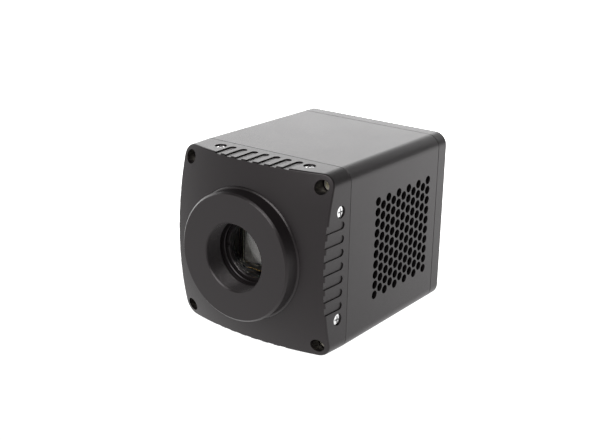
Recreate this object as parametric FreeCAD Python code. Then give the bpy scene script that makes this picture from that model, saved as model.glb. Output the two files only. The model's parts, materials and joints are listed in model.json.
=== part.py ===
import FreeCAD, Part
import math
import os

# Cooled astronomy camera: a square black aluminium body around a sealed, cooled image sensor.
#
# Units are millimetres. The optical axis runs along Y, the lens mount faces -Y and +Z is up.
# The origin is the centre of the mount ring's front face, on which a lens or adapter seats.

VEC = FreeCAD.Vector
X_AXIS = VEC(1, 0, 0)
Y_AXIS = VEC(0, 1, 0)
Z_AXIS = VEC(0, 0, 1)
CORNERS = [(1, 1), (1, -1), (-1, -1), (-1, 1)]
SLACK = 2.0            # how far a cutting tool runs past the face it opens
THREAD_GAP = 0.02      # between a screw's shank and its thread, so that the two never share volume

# Body
BODY = 76.0            # width and height
LENGTH = 98.5          # from the mount ring's face to the back of the rear cover
CORNER_R = 5.5
HALF = BODY / 2
FRONT_SEAM = 24.8      # y of the joint between front plate and housing
REAR_SEAM = 92.2       # y of the joint between housing and rear cover
SEAM_CHAMFER = 0.35

# Cap screws in the corners, M3 with socket heads
CAP_POS = 32.8         # distance of each corner screw from both centre planes
CAP_BORE_R = 2.85
CAP_HEAD_R = 2.7
CAP_HEAD_ROUND = 0.5
CAP_HEAD_H = 3.0
CAP_SHANK_R = 1.5
CAP_CLEAR_R = 1.65
CAP_SOCKET = 2.5       # across the flats
CAP_GRIP = 9.0         # screwed length
FRONT_CAP_SEAT = 20.6  # y on which the front heads sit
REAR_CAP_SEAT = 95.0

# Front plate: its outer face is a shallow dome, and its sides close in a little towards the front
PLATE_FRONT_X = 74.2   # width and height that the sides reach at y = 0
PLATE_FRONT_Z = 75.0
DOME_R = 130.0
DOME_EDGE_Y = 9.7      # y of the dome at the middle of each side
DOME_CENTRE_Y = DOME_EDGE_Y + math.sqrt(DOME_R**2 - HALF**2)
DOME_ROUND = 0.8
SLOT_COUNT = 7
SLOT_PITCH = 5.6
SLOT_W = 3.2
SLOT_DEPTH = 0.45
SLOT_END_Y = 21.4
SIDE_SCREW_Y = 19.0
SIDE_SCREW_POS = 4 * SLOT_PITCH
SIDE_BORE_R = 2.5
SIDE_HEAD_R = 2.3
SIDE_HEAD_H = 1.5
SIDE_HEAD_DOME_R = 10.0
SIDE_HEAD_SUNK = 0.5
SIDE_SHANK_R = 1.25
SIDE_SCREW_LEN = 6.6
POCKET = 68.0          # square pocket in the back of the front plate
POCKET_FLOOR_Y = 14.5
LEDGE_Y = 12.0         # face that the mount ring sits on
LEDGE_R = 21.0
POST_R = 5.2

# Mount ring, with an M28.5 x 0.6 thread cut to its minor diameter
RING_R = 26.65
RING_HOLE_R = 26.75
COLLAR_R = 27.5
COLLAR_Y = 6.4
COLLAR_SEAT_Y = 7.3
COLLAR_CHAMFER = 0.7
RING_CHAMFER = 0.6
THREAD_R = 13.95
THREAD_LEN = 8.4
MOUTH_R = 14.35
RELIEF_R = 14.6
RELIEF_END_Y = 10.2
THROAT_R = 13.0
EDGE_BREAK = 0.2
RING_SCREW_R = 23.8    # radius of the circle of screws behind the ring
RING_SCREW_SHANK_R = 1.0
RING_SCREW_HEAD_R = 1.9
RING_SCREW_HEAD_H = 1.2
RING_SCREW_TIP_Y = 8.2

# Window and its retaining ring
RETAINER_Y = 11.1
RETAINER_R = 12.9
RETAINER_THREAD_R = 12.6
RETAINER_APERTURE_R = 11.4
RETAINER_NOTCH = 1.6
WINDOW_Y = 13.0
WINDOW_T = 1.5
WINDOW_R = 12.4
SEAL_R = 12.0
SEAL_SECTION_R = 0.4

# Sealed chamber
CHAMBER = 67.4
CHAMBER_END_Y = 24.0
CHAMBER_BOSS_R = 20.9
CHAMBER_BORE_R = 12.65
APERTURE_R = 11.5
APERTURE_Y = WINDOW_Y + WINDOW_T + 2 * SEAL_SECTION_R
CAVITY = 23.0
CAVITY_Y = 16.0
BOARD_SEAT_Y = 20.8
BOARD_RECESS = 63.0
TAB_HALF_W = 10.0
CHAMBER_SEAL_R = 19.0
CHAMBER_SEAL_SECTION_R = 0.6
LONG_SCREW_POS = 25.5

# Image sensor, its board and the cold finger behind it
SENSOR_Y = 17.5        # y of the light-sensitive surface
DIE_X = 15.7
DIE_Z = 15.2
DIE_T = 0.4
PACKAGE = 21.0
PACKAGE_Y = 17.1
PACKAGE_BACK_Y = 19.6
FRAME_OUTER = 19.0     # gilt frame to which the lid is soldered
FRAME_INNER = 15.8
FRAME_T = 0.2
LID_T = 0.5
BOARD_T = 1.6
SENSOR_BOARD = 62.0
FINGER_HOLE = 14.0
FINGER = 12.0
FINGER_PLATE = 30.0
FINGER_PLATE_Y = 23.4

# Two-stage thermoelectric cooler
STAGE_Y = [26.0, 29.6]
STAGE_T = [3.6, 4.0]
STAGE_SIZE = [30.0, 40.0]
STAGE_PELLETS = [7, 9]
CERAMIC_T = 0.8
PELLET = 1.8

# Insulating spacer between chamber and heat sink
SPACER = 58.0
SPACER_INNER = 44.0
GASKET_T = 0.5
SINK_Y = STAGE_Y[1] + STAGE_T[1]

# Heat sink and fan
SINK_BASE_T = 6.0
SINK_BASE_X = 29.5
SINK_BASE_Z = 29.0
FIN_COUNT = 13
FAN_HOLE_PITCH = 32.0
FIN_PITCH = FAN_HOLE_PITCH / 9   # a fan screw bites midway between two fins
FIN_T = 1.2
FIN_END_Y = 84.0
FAN = 40.0
FAN_DEPTH = 10.0
FAN_X = -33.4          # outer face of the fan
FAN_INNER_X = FAN_X + FAN_DEPTH
FAN_Y = 64.5
FAN_BORE_R = 19.0
FAN_STRUT_T = 1.4
FAN_HUB_R = 9.0
FAN_TIP_R = 18.4
FAN_BLADES = 7
FAN_BLADE_T = 0.9
FAN_BLADE_PITCH = 40.0
FAN_SHAFT_R = 1.0
FAN_BEARING_GAP = 0.04

# Housing
WALL = 2.6
HOUSING_POST_R = 4.5
INNER_HALF = HALF - WALL
VENT_COLUMNS = 11
VENT_ROWS = 10
VENT_PITCH = 4.5
VENT_R = 1.85
BUSH_Y = 58.0
BUSH_R = 5.0
BUSH_THREAD_R = 2.55
BUSH_DEPTH = 6.3
BUSH_LEN = 7.0
BUSH_PAD_R = 8.0

# Rear cover and the connector panel sunk into it
PANEL_X = 26.0
PANEL_Z = 16.5
PANEL_Y = 96.0         # floor of the sunk panel
PANEL_BACK_Y = 94.0
PANEL_CORNER_R = 3.0
COVER_CHAMFER = 0.2
MAIN_BOARD = 68.0
MAIN_BOARD_Y = 87.2
MAIN_BOARD_BACK_Y = MAIN_BOARD_Y + BOARD_T
STANDOFF_X = 29.0
STANDOFF_Z = 20.0
STANDOFF_R = 2.4

SWITCH = VEC(16, 94.6, 7)      # the rocker's pivot
ROCKER_HALF = 5.5
ROCKER_W = 7.4
ROCKER_TILT = 10.0
ROCKER_TOP = 1.7               # height of the rocker's waist over its pivot
SWITCH_OPEN_X = 6.3
SWITCH_OPEN_Z = 3.9
SWITCH_WALL = 0.9
PIVOT_R = 0.8
PIVOT_GAP = 0.05
LED_POS = (3.0, 7.0)
TRIGGER_POS = (-14.0, 7.0)
DC_POS = (16.0, -8.0)
USB_POS = (-6.0, -9.0)

WIRE_R = 0.75
WIRE_BEND_R = 2.5
COOLER_LEAD_Z = -32.2


def box(x0, x1, y0, y1, z0, z1):
    return Part.makeBox(x1 - x0, y1 - y0, z1 - z0, VEC(x0, y0, z0))


def square(size, y0, y1, x=0.0, z=0.0):
    return box(x - size / 2, x + size / 2, y0, y1, z - size / 2, z + size / 2)


def rod_x(r, x0, x1, y=0.0, z=0.0):
    return Part.makeCylinder(r, x1 - x0, VEC(x0, y, z), X_AXIS)


def rod_y(r, y0, y1, x=0.0, z=0.0):
    return Part.makeCylinder(r, y1 - y0, VEC(x, y0, z), Y_AXIS)


def rod_z(r, z0, z1, x=0.0, y=0.0):
    return Part.makeCylinder(r, z1 - z0, VEC(x, y, z0), Z_AXIS)


def rounded_bar(size_x, size_z, corner_r, y0, y1):
    """A bar along Y whose four long edges are rounded."""
    bar = box(-size_x / 2, size_x / 2, y0, y1, -size_z / 2, size_z / 2)
    long_edges = [e for e in bar.Edges if abs(e.tangentAt(e.FirstParameter).y) > 0.99]
    return bar.makeFillet(corner_r, long_edges)


def turned_ring(profile):
    """A ring about the optical axis from its half section, a list of (radius, y)."""
    points = [VEC(r, y, 0) for r, y in profile]
    face = Part.Face(Part.makePolygon(points + points[:1]))
    return face.revolve(VEC(0, 0, 0), Y_AXIS, 360)


def at_corners(distance):
    return [(sx * distance, sz * distance) for sx, sz in CORNERS]


def on_four_sides(shape):
    """Copies of a shape made on the top, turned to all four sides."""
    return [rotated(shape, VEC(0, 0, 0), Y_AXIS, 90 * k) for k in range(4)]


def rotated(shape, centre, axis, degrees):
    copy = shape.copy()
    copy.rotate(centre, axis, degrees)
    return copy


def hexagon(flats, y0, y1, x=0.0, z=0.0):
    r = flats / math.sqrt(3)
    turns = [math.radians(60 * k) for k in range(6)]
    points = [VEC(x + r * math.cos(t), y0, z + r * math.sin(t)) for t in turns]
    return Part.Face(Part.makePolygon(points + points[:1])).extrude(VEC(0, y1 - y0, 0))


def cap_screw(seat_y, toward, x, z):
    """An M3 socket cap screw along Y, screwing towards +Y (1) or -Y (-1) from its seat."""
    head = rod_y(CAP_HEAD_R, -CAP_HEAD_H, 0)
    rim = [e for e in head.Edges if e.BoundBox.YMax < 0.01 - CAP_HEAD_H]
    head = head.makeFillet(CAP_HEAD_ROUND, rim)
    socket = hexagon(CAP_SOCKET, -CAP_HEAD_H, -CAP_HEAD_H / 2)
    shank = rod_y(CAP_SHANK_R, 0, CAP_GRIP + 2.4)
    screw = head.cut(socket).fuse(shank)
    if toward < 0:
        screw.rotate(VEC(0, 0, 0), X_AXIS, 180)
    screw.translate(VEC(x, seat_y, z))
    return screw


def cross_recess(top_z, depth):
    """The cross that a screwdriver turns, sunk from top_z in a head whose axis is Z."""
    arm = 1.5
    width = 0.7
    bar = box(-arm, arm, -width / 2, width / 2, top_z - depth, top_z + SLACK)
    return bar.fuse(rotated(bar, VEC(0, 0, 0), Z_AXIS, 90))


def tube_along(points, r, bend_r):
    """A round lead through points, as straight runs joined by tangent arcs."""
    edges = []
    start = points[0]
    for before, corner, after in zip(points, points[1:], points[2:]):
        inward = (before - corner).normalize()
        outward = (after - corner).normalize()
        half_turn = inward.getAngle(outward) / 2
        reach = bend_r / math.tan(half_turn)
        arc_in = corner + inward * reach
        arc_out = corner + outward * reach
        middle_way = (inward + outward).normalize()
        middle = corner + middle_way * (bend_r / math.sin(half_turn) - bend_r)
        edges.append(Part.LineSegment(start, arc_in).toShape())
        edges.append(Part.Arc(arc_in, middle, arc_out).toShape())
        start = arc_out
    edges.append(Part.LineSegment(start, points[-1]).toShape())
    path = Part.Wire(edges)
    section = Part.Wire(Part.makeCircle(r, points[0], points[1] - points[0]))
    return path.makePipeShell([section], True, False)


# ---- outer shell -------------------------------------------------------------------------------


def side_slots():
    """Shallow grooves that run back from the front edge and end in a half circle, as deep at both ends."""
    tools = []
    round_y = SLOT_END_Y - SLOT_W / 2
    fronts = [PLATE_FRONT_Z, PLATE_FRONT_X, PLATE_FRONT_Z, PLATE_FRONT_X]
    for side, front in enumerate(fronts):
        taper = math.degrees(math.atan2((BODY - front) / 2, FRONT_SEAM))
        for k in range(SLOT_COUNT):
            x = (k - (SLOT_COUNT - 1) / 2) * SLOT_PITCH
            straight = box(x - SLOT_W / 2, x + SLOT_W / 2, 0, round_y, HALF - SLOT_DEPTH, HALF + SLACK)
            end = rod_z(SLOT_W / 2, HALF - SLOT_DEPTH, HALF + SLACK, x, round_y)
            slot = rotated(straight.fuse(end), VEC(0, FRONT_SEAM, HALF), X_AXIS, taper)
            tools.append(rotated(slot, VEC(0, 0, 0), Y_AXIS, 90 * side))
    return tools


def side_screw_holes():
    seat = HALF - SIDE_HEAD_SUNK - SIDE_HEAD_H
    tools = []
    for x in (-SIDE_SCREW_POS, SIDE_SCREW_POS):
        bore = rod_z(SIDE_BORE_R, seat, HALF + SLACK, x, SIDE_SCREW_Y)
        clear = rod_z(SIDE_SHANK_R + 0.1, POCKET / 2 - SLACK, seat, x, SIDE_SCREW_Y)
        tools += on_four_sides(bore.fuse(clear))
    return tools


def tapered_bar():
    """The front plate's bar, wider at its seam than at the front."""
    rims = []
    for size_x, size_z, y in ((PLATE_FRONT_X, PLATE_FRONT_Z, 0), (BODY, BODY, FRONT_SEAM)):
        thin = rounded_bar(size_x, size_z, CORNER_R, y, y + 1)
        rims.append(min(thin.Faces, key=lambda f: f.CenterOfMass.y).OuterWire)
    return Part.makeLoft(rims, True, True)


def front_plate():
    dome = Part.makeSphere(DOME_R, VEC(0, DOME_CENTRE_Y, 0))
    plate = tapered_bar().common(dome)
    domed = max(plate.Faces, key=lambda f: f.Surface.Radius if f.Surface.TypeId == "Part::GeomSphere" else 0)
    plate = plate.makeFillet(DOME_ROUND, domed.Edges)
    pocket = rounded_bar(POCKET, POCKET, 2.0, POCKET_FLOOR_Y, FRONT_SEAM + SLACK)
    posts = [rod_y(POST_R, POCKET_FLOOR_Y, FRONT_SEAM + SLACK, x, z) for x, z in at_corners(CAP_POS)]
    tools = [pocket.cut(posts)]
    tools += [rod_y(RING_HOLE_R, 0, LEDGE_Y), rod_y(COLLAR_R + 0.1, 0, COLLAR_SEAT_Y)]
    tools.append(rod_y(LEDGE_R, 0, FRONT_SEAM))
    for x, z in at_corners(CAP_POS):
        tools.append(rod_y(CAP_BORE_R, 0, FRONT_CAP_SEAT, x, z))
        tools.append(rod_y(CAP_CLEAR_R, 0, FRONT_SEAM + SLACK, x, z))
    for x, z in at_corners(RING_SCREW_R / math.sqrt(2)):
        head_y = POCKET_FLOOR_Y - RING_SCREW_HEAD_H - 0.1
        tools.append(rod_y(RING_SCREW_HEAD_R + 0.1, head_y, POCKET_FLOOR_Y + 1, x, z))
        tools.append(rod_y(RING_SCREW_SHANK_R + 0.1, 0, POCKET_FLOOR_Y, x, z))
    return plate.cut(tools + side_slots() + side_screw_holes())


def mount_ring():
    ring = turned_ring([
        (MOUTH_R, 0), (RING_R - RING_CHAMFER, 0), (RING_R, RING_CHAMFER), (RING_R, COLLAR_Y),
        (COLLAR_R - COLLAR_CHAMFER, COLLAR_Y), (COLLAR_R, COLLAR_Y + COLLAR_CHAMFER),
        (COLLAR_R, COLLAR_SEAT_Y), (RING_R, COLLAR_SEAT_Y), (RING_R, LEDGE_Y), (THROAT_R, LEDGE_Y),
        (THROAT_R, RELIEF_END_Y + EDGE_BREAK), (THROAT_R + EDGE_BREAK, RELIEF_END_Y),
        (RELIEF_R, RELIEF_END_Y), (RELIEF_R, THREAD_LEN), (THREAD_R, THREAD_LEN),
        (THREAD_R, MOUTH_R - THREAD_R),
    ])
    holes = [rod_y(RING_SCREW_SHANK_R + THREAD_GAP, RING_SCREW_TIP_Y - 0.5, LEDGE_Y + 1, x, z)
             for x, z in at_corners(RING_SCREW_R / math.sqrt(2))]
    return ring.cut(holes)


def mount_ring_screws():
    screws = []
    for x, z in at_corners(RING_SCREW_R / math.sqrt(2)):
        head_y = POCKET_FLOOR_Y - RING_SCREW_HEAD_H - 0.1
        head = rod_y(RING_SCREW_HEAD_R, head_y, head_y + RING_SCREW_HEAD_H, x, z)
        recess = hexagon(1.5, head_y + 0.5, head_y + SLACK, x, z)
        screws.append(head.cut(recess).fuse(rod_y(RING_SCREW_SHANK_R, RING_SCREW_TIP_Y, head_y, x, z)))
    return Part.makeCompound(screws)


def front_screws():
    return Part.makeCompound([cap_screw(FRONT_CAP_SEAT, 1, x, z) for x, z in at_corners(CAP_POS)])


def side_screws():
    seat = HALF - SIDE_HEAD_SUNK - SIDE_HEAD_H
    top = seat + SIDE_HEAD_H
    screws = []
    for x in (-SIDE_SCREW_POS, SIDE_SCREW_POS):
        dome = Part.makeSphere(SIDE_HEAD_DOME_R, VEC(0, 0, top - SIDE_HEAD_DOME_R))
        head = rod_z(SIDE_HEAD_R, seat, top, 0, 0).common(dome).cut(cross_recess(top, 1.0))
        screw = head.fuse(rod_z(SIDE_SHANK_R, seat - SIDE_SCREW_LEN, seat))
        screw.translate(VEC(x, SIDE_SCREW_Y, 0))
        screws += on_four_sides(screw)
    return Part.makeCompound(screws)


def vent_holes():
    """Bores through both side walls, in a hexagonal pattern: even columns hold one more hole than odd ones."""
    column_pitch = VENT_PITCH * math.sqrt(3) / 2
    tools = []
    for column in range(VENT_COLUMNS):
        y = FAN_Y + (column - (VENT_COLUMNS - 1) / 2) * column_pitch
        rows = VENT_ROWS - column % 2
        for row in range(rows):
            z = (row - (rows - 1) / 2) * VENT_PITCH
            tools.append(rod_x(VENT_R, -HALF - SLACK, -INNER_HALF + SLACK / 4, y, z))
            tools.append(rod_x(VENT_R, INNER_HALF - SLACK / 4, HALF + SLACK, y, z))
    return tools


def housing():
    bar = rounded_bar(BODY, BODY, CORNER_R, FRONT_SEAM, REAR_SEAM)
    end_rims = [e for e in bar.Edges if e.BoundBox.YLength < 0.01]
    bar = bar.makeChamfer(SEAM_CHAMFER, end_rims)
    inside = rounded_bar(2 * INNER_HALF, 2 * INNER_HALF, CORNER_R - WALL, FRONT_SEAM - 1, REAR_SEAM + 1)
    posts = [rod_y(HOUSING_POST_R, FRONT_SEAM - 1, REAR_SEAM + 1, x, z) for x, z in at_corners(CAP_POS)]
    pad = rod_z(BUSH_PAD_R, -HALF, -HALF + BUSH_LEN + 1, 0, BUSH_Y)
    shell = bar.cut(inside.cut(posts + [pad]))
    tools = vent_holes()
    for x, z in at_corners(CAP_POS):
        thread_r = CAP_SHANK_R + THREAD_GAP
        tools.append(rod_y(thread_r, FRONT_SEAM - 1, FRONT_SEAM + CAP_GRIP + 1, x, z))
        tools.append(rod_y(thread_r, REAR_SEAM - CAP_GRIP - 1, REAR_SEAM + 1, x, z))
    tools.append(rod_z(BUSH_R, -HALF - 1, -HALF + BUSH_LEN, 0, BUSH_Y))
    return shell.cut(tools)


def tripod_bush():
    bush = rod_z(BUSH_R, -HALF, -HALF + BUSH_LEN, 0, BUSH_Y)
    return bush.cut(rod_z(BUSH_THREAD_R, -HALF - 1, -HALF + BUSH_DEPTH, 0, BUSH_Y))


def rear_cover():
    bar = rounded_bar(BODY, BODY, CORNER_R, REAR_SEAM, LENGTH)
    back_rim = [e for e in bar.Edges if e.BoundBox.YMin > LENGTH - 0.01]
    cover = bar.makeChamfer(COVER_CHAMFER, back_rim)
    pocket = rounded_bar(POCKET, POCKET, 2.0, REAR_SEAM - 1, PANEL_BACK_Y)
    posts = [rod_y(POST_R, REAR_SEAM - 1, PANEL_BACK_Y, x, z) for x, z in at_corners(CAP_POS)]
    panel = rounded_bar(2 * PANEL_X, 2 * PANEL_Z, PANEL_CORNER_R, PANEL_Y, LENGTH + 1)
    tools = [pocket.cut(posts), panel]
    for x, z in at_corners(CAP_POS):
        tools.append(rod_y(CAP_BORE_R, REAR_CAP_SEAT, LENGTH + 1, x, z))
        tools.append(rod_y(CAP_CLEAR_R, REAR_SEAM - 1, LENGTH, x, z))
    half_x = SWITCH_OPEN_X + SWITCH_WALL + 0.05
    half_z = SWITCH_OPEN_Z + SWITCH_WALL + 0.05
    tools.append(box(SWITCH.x - half_x, SWITCH.x + half_x, PANEL_BACK_Y - 1, PANEL_Y + 1,
                     SWITCH.z - half_z, SWITCH.z + half_z))
    tools.append(rod_y(1.55, PANEL_BACK_Y - 1, PANEL_Y + 1, *LED_POS))
    tools.append(rod_y(4.25, PANEL_BACK_Y - 1, PANEL_Y + 1, *TRIGGER_POS))
    tools.append(rod_y(4.0, PANEL_BACK_Y - 1, PANEL_Y + 1, *DC_POS))
    tools.append(usb_outline(0.55, PANEL_BACK_Y - 1, PANEL_Y + 1))
    for x, z in standoff_places():
        tools.append(rod_y(1.0, PANEL_BACK_Y - 1, PANEL_BACK_Y + 1.2, x, z))
    return cover.cut(tools)


def rear_screws():
    return Part.makeCompound([cap_screw(REAR_CAP_SEAT, -1, x, z) for x, z in at_corners(CAP_POS)])


# ---- window and sealed chamber -----------------------------------------------------------------


def window_retainer():
    ring = turned_ring([
        (RETAINER_APERTURE_R + EDGE_BREAK, RETAINER_Y), (RETAINER_R - EDGE_BREAK, RETAINER_Y),
        (RETAINER_R, RETAINER_Y + EDGE_BREAK), (RETAINER_R, LEDGE_Y), (RETAINER_THREAD_R, LEDGE_Y),
        (RETAINER_THREAD_R, WINDOW_Y), (RETAINER_APERTURE_R, WINDOW_Y),
        (RETAINER_APERTURE_R, RETAINER_Y + EDGE_BREAK),
    ])
    half = RETAINER_NOTCH / 2
    notch = box(-RETAINER_R - 1, RETAINER_R + 1, RETAINER_Y - 1, RETAINER_Y + 0.7, -half, half)
    return ring.cut(notch)


def window_glass():
    disc = rod_y(WINDOW_R, WINDOW_Y, WINDOW_Y + WINDOW_T)
    return disc.makeChamfer(EDGE_BREAK, [e for e in disc.Edges if e.BoundBox.YLength < 0.01])


def window_seal():
    return Part.makeTorus(SEAL_R, SEAL_SECTION_R, VEC(0, WINDOW_Y + WINDOW_T + SEAL_SECTION_R, 0), Y_AXIS)


def chamber_body():
    block = rounded_bar(CHAMBER, CHAMBER, 2.0, POCKET_FLOOR_Y, CHAMBER_END_Y)
    block = block.fuse(rod_y(CHAMBER_BOSS_R, LEDGE_Y, POCKET_FLOOR_Y + 1))
    tools = [rod_y(POST_R + 0.2, 0, CHAMBER_END_Y + 1, x, z) for x, z in at_corners(CAP_POS)]
    tools.append(rod_y(CHAMBER_BORE_R, 0, APERTURE_Y))
    tools.append(rod_y(APERTURE_R, 0, CAVITY_Y))
    tools.append(square(CAVITY, CAVITY_Y, BOARD_SEAT_Y + 1))
    tools.append(square(BOARD_RECESS, BOARD_SEAT_Y, CHAMBER_END_Y + 1))
    tab = TAB_HALF_W + 0.5
    tools.append(box(-tab, tab, BOARD_SEAT_Y, CHAMBER_END_Y + 1, 0, CHAMBER / 2 + 1))
    groove_depth = 2 * CHAMBER_SEAL_SECTION_R
    groove = turned_ring([(CHAMBER_SEAL_R - CHAMBER_SEAL_SECTION_R, BOARD_SEAT_Y - groove_depth),
                          (CHAMBER_SEAL_R + CHAMBER_SEAL_SECTION_R, BOARD_SEAT_Y - groove_depth),
                          (CHAMBER_SEAL_R + CHAMBER_SEAL_SECTION_R, BOARD_SEAT_Y + 1),
                          (CHAMBER_SEAL_R - CHAMBER_SEAL_SECTION_R, BOARD_SEAT_Y + 1)])
    tools.append(groove)
    for x, z in at_corners(LONG_SCREW_POS):
        tools.append(rod_y(CAP_SHANK_R + THREAD_GAP, POCKET_FLOOR_Y + 1.2, BOARD_SEAT_Y + 1, x, z))
    tip = HALF - SIDE_HEAD_SUNK - SIDE_HEAD_H - SIDE_SCREW_LEN - 0.3
    for x in (-SIDE_SCREW_POS, SIDE_SCREW_POS):
        tools += on_four_sides(rod_z(SIDE_SHANK_R + THREAD_GAP, tip, HALF, x, SIDE_SCREW_Y))
    return block.cut(tools)


def chamber_seal():
    y = BOARD_SEAT_Y - CHAMBER_SEAL_SECTION_R
    return Part.makeTorus(CHAMBER_SEAL_R, CHAMBER_SEAL_SECTION_R, VEC(0, y, 0), Y_AXIS)


def sensor_package():
    package = square(PACKAGE, PACKAGE_Y, PACKAGE_BACK_Y)
    margin = 0.6
    well = box(-DIE_X / 2 - margin, DIE_X / 2 + margin, PACKAGE_Y - 1, SENSOR_Y + DIE_T,
               -DIE_Z / 2 - margin, DIE_Z / 2 + margin)
    return package.cut(well)


def sensor_die():
    return box(-DIE_X / 2, DIE_X / 2, SENSOR_Y, SENSOR_Y + DIE_T, -DIE_Z / 2, DIE_Z / 2)


def sensor_frame():
    frame = square(FRAME_OUTER, PACKAGE_Y - FRAME_T, PACKAGE_Y)
    return frame.cut(square(FRAME_INNER, PACKAGE_Y - FRAME_T - 1, PACKAGE_Y + 1))


def sensor_lid():
    return square(FRAME_OUTER, PACKAGE_Y - FRAME_T - LID_T, PACKAGE_Y - FRAME_T)


def sensor_socket():
    return square(PACKAGE - 1, PACKAGE_BACK_Y, BOARD_SEAT_Y).cut(square(FINGER_HOLE, 0, LENGTH))


def sensor_board():
    board = square(SENSOR_BOARD, BOARD_SEAT_Y, BOARD_SEAT_Y + BOARD_T)
    tab = box(-TAB_HALF_W, TAB_HALF_W, BOARD_SEAT_Y, BOARD_SEAT_Y + BOARD_T, 0, CHAMBER / 2 - 0.3)
    tools = [square(FINGER_HOLE, 0, LENGTH)]
    tools += [rod_y(CAP_SHANK_R + 0.2, 0, LENGTH, x, z) for x, z in at_corners(LONG_SCREW_POS)]
    tools += [rod_y(POST_R + 0.6, 0, LENGTH, x, z) for x, z in at_corners(CAP_POS)]
    return board.fuse(tab).cut(tools)


def cold_finger():
    post = square(FINGER, PACKAGE_BACK_Y, FINGER_PLATE_Y)
    return post.fuse(square(FINGER_PLATE, FINGER_PLATE_Y, STAGE_Y[0]))


def thermoelectric_cooler():
    """Two stages, each a field of semiconductor pellets between two ceramic plates."""
    stages = []
    for y, thick, size, count in zip(STAGE_Y, STAGE_T, STAGE_SIZE, STAGE_PELLETS):
        plates = [square(size, y, y + CERAMIC_T), square(size, y + thick - CERAMIC_T, y + thick)]
        pitch = (size - 2 * PELLET) / (count - 1)
        pellets = []
        for i in range(count):
            for k in range(count):
                x = (i - (count - 1) / 2) * pitch
                z = (k - (count - 1) / 2) * pitch
                pellets.append(square(PELLET, y + CERAMIC_T, y + thick - CERAMIC_T, x, z))
        stages.append(plates[0].fuse(pellets + plates[1:]))
    return Part.makeCompound(stages)


def spacer_frame(y0, y1):
    frame = square(SPACER, y0, y1).cut(square(SPACER_INNER, y0 - 1, y1 + 1))
    holes = [rod_y(CAP_SHANK_R + 0.2, y0 - 1, y1 + 1, x, z) for x, z in at_corners(LONG_SCREW_POS)]
    return frame.cut(holes)


def chamber_spacer():
    return spacer_frame(BOARD_SEAT_Y + BOARD_T + GASKET_T, SINK_Y - GASKET_T)


def spacer_gaskets():
    front_y = BOARD_SEAT_Y + BOARD_T
    front = spacer_frame(front_y, front_y + GASKET_T)
    return Part.makeCompound([front, spacer_frame(SINK_Y - GASKET_T, SINK_Y)])


def chamber_screws():
    """Long cap screws that clamp heat sink, spacer and sensor board to the chamber."""
    screws = []
    seat = SINK_Y + SINK_BASE_T
    for x, z in at_corners(LONG_SCREW_POS):
        head = rod_y(CAP_HEAD_R, seat, seat + CAP_HEAD_H, x, z)
        socket = hexagon(CAP_SOCKET, seat + CAP_HEAD_H / 2, seat + CAP_HEAD_H + 1, x, z)
        screws.append(head.cut(socket).fuse(rod_y(CAP_SHANK_R, POCKET_FLOOR_Y + 1.5, seat, x, z)))
    return Part.makeCompound(screws)


# ---- heat sink and fan -------------------------------------------------------------------------


def heat_sink():
    base_end = SINK_Y + SINK_BASE_T
    base = box(-SINK_BASE_X, SINK_BASE_X, SINK_Y, base_end, -SINK_BASE_Z, SINK_BASE_Z)
    fins = []
    for k in range(FIN_COUNT):
        z = (k - (FIN_COUNT - 1) / 2) * FIN_PITCH
        fins.append(box(FAN_INNER_X, SINK_BASE_X, base_end - 0.5, FIN_END_Y, z - FIN_T / 2, z + FIN_T / 2))
    holes = [rod_y(CAP_SHANK_R + 0.2, SINK_Y - 1, base_end + 1, x, z)
             for x, z in at_corners(LONG_SCREW_POS)]
    return base.fuse(fins).cut(holes)


def fan_corners():
    half = FAN_HOLE_PITCH / 2
    return [(FAN_Y + sy * half, sz * half) for sy, sz in CORNERS]


def fan_frame():
    half = FAN / 2
    frame = box(FAN_X, FAN_INNER_X, FAN_Y - half, FAN_Y + half, -half, half)
    frame = frame.cut(rod_x(FAN_BORE_R, FAN_X - 1, FAN_INNER_X + 1, FAN_Y, 0))
    strut_end = FAN_X + FAN_STRUT_T
    parts = [rod_x(FAN_HUB_R + 0.3, FAN_X, strut_end, FAN_Y, 0)]
    for k in range(4):
        strut = box(FAN_X, strut_end, FAN_Y - 1.1, FAN_Y + 1.1, FAN_HUB_R, FAN_BORE_R + 0.5)
        parts.append(rotated(strut, VEC(0, FAN_Y, 0), X_AXIS, 90 * k + 30))
    parts.append(rod_x(3.2, FAN_X, FAN_INNER_X - 3.0, FAN_Y, 0))
    frame = frame.fuse(parts)
    tools = [rod_x(1.7, FAN_X - 1, FAN_INNER_X + 1, y, z) for y, z in fan_corners()]
    tools.append(rod_x(2.4, strut_end, FAN_INNER_X, FAN_Y, 0))
    return frame.cut(tools)


def fan_bearing():
    x0 = FAN_X + FAN_STRUT_T
    x1 = FAN_INNER_X - 3.0
    sleeve = rod_x(2.4, x0, x1, FAN_Y, 0)
    return sleeve.cut(rod_x(FAN_SHAFT_R + FAN_BEARING_GAP, x0 - 1, x1 + 1, FAN_Y, 0))


def fan_stator():
    """Four wound poles on the bearing tube."""
    x0 = FAN_X + FAN_STRUT_T + 0.4
    x1 = FAN_INNER_X - 3.6
    core = rod_x(4.4, x0, x1, FAN_Y, 0)
    poles = []
    for k in range(4):
        pole = box(x0, x1, FAN_Y - 1.6, FAN_Y + 1.6, 3.0, 7.6)
        shoe = box(x0, x1, FAN_Y - 3.6, FAN_Y + 3.6, 5.6, 7.6)
        poles.append(rotated(pole.fuse(shoe), VEC(0, FAN_Y, 0), X_AXIS, 90 * k))
    stator = core.fuse(poles).common(rod_x(7.1, x0, x1, FAN_Y, 0))
    return stator.cut(rod_x(3.2, x0 - 1, x1 + 1, FAN_Y, 0))


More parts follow.
